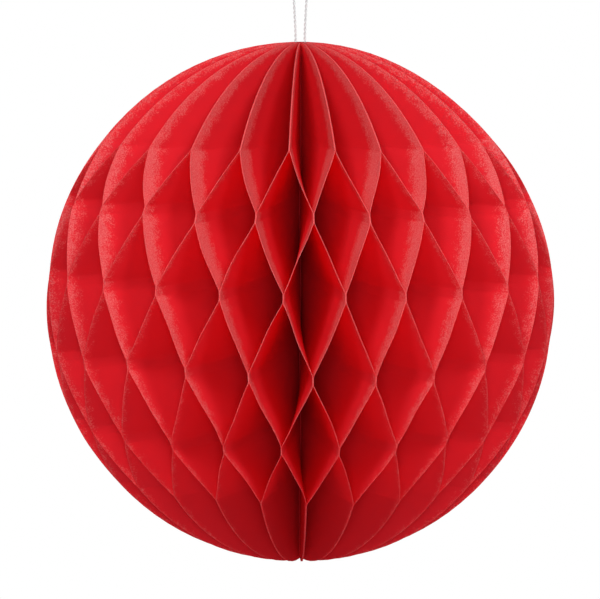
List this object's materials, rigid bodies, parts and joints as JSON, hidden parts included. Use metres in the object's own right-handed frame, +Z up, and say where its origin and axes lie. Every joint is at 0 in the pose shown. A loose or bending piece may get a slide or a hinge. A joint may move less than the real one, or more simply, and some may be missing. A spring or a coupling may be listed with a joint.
{
  "type": "honeycomb paper ball",
  "caption": "Round honeycomb ball of tissue paper sheets glued in alternating rows, fanned about its upright axis, hung on a thin twisted cord loop.",
  "frame": {"origin": "centre of the ball, on the axis that the sheets fan about", "axes": "+Z up along the ball's axis to its cord loop, -Y the front that the picture shows, +X to the right"},
  "size_m": [0.1997, 0.1999, 0.2294],
  "materials": {
    "red_tissue": "matte tissue paper with a fine fibre bloom",
    "white_cord": "twisted cotton cord"
  },
  "bodies": {
    "root": {"sheet_01": "red_tissue", "sheet_02": "red_tissue", "sheet_03": "red_tissue", "sheet_04": "red_tissue", "sheet_05": "red_tissue", "sheet_06": "red_tissue", "sheet_07": "red_tissue", "sheet_08": "red_tissue", "sheet_09": "red_tissue", "sheet_10": "red_tissue", "sheet_11": "red_tissue", "sheet_12": "red_tissue", "sheet_13": "red_tissue", "sheet_14": "red_tissue", "sheet_15": "red_tissue", "sheet_16": "red_tissue", "sheet_17": "red_tissue", "sheet_18": "red_tissue", "sheet_19": "red_tissue", "sheet_20": "red_tissue", "sheet_21": "red_tissue", "sheet_22": "red_tissue", "sheet_23": "red_tissue", "sheet_24": "red_tissue", "sheet_25": "red_tissue", "sheet_26": "red_tissue", "sheet_27": "red_tissue", "sheet_28": "red_tissue", "sheet_29": "red_tissue", "sheet_30": "red_tissue", "sheet_31": "red_tissue", "sheet_32": "red_tissue", "sheet_33": "red_tissue", "sheet_34": "red_tissue", "sheet_35": "red_tissue", "sheet_36": "red_tissue", "sheet_37": "red_tissue", "sheet_38": "red_tissue", "sheet_39": "red_tissue", "sheet_40": "red_tissue", "sheet_41": "red_tissue", "sheet_42": "red_tissue", "sheet_43": "red_tissue", "sheet_44": "red_tissue", "sheet_45": "red_tissue", "sheet_46": "red_tissue", "glued_spine": "red_tissue", "hanging_cord": "white_cord"}
  },
  "joints": []
}
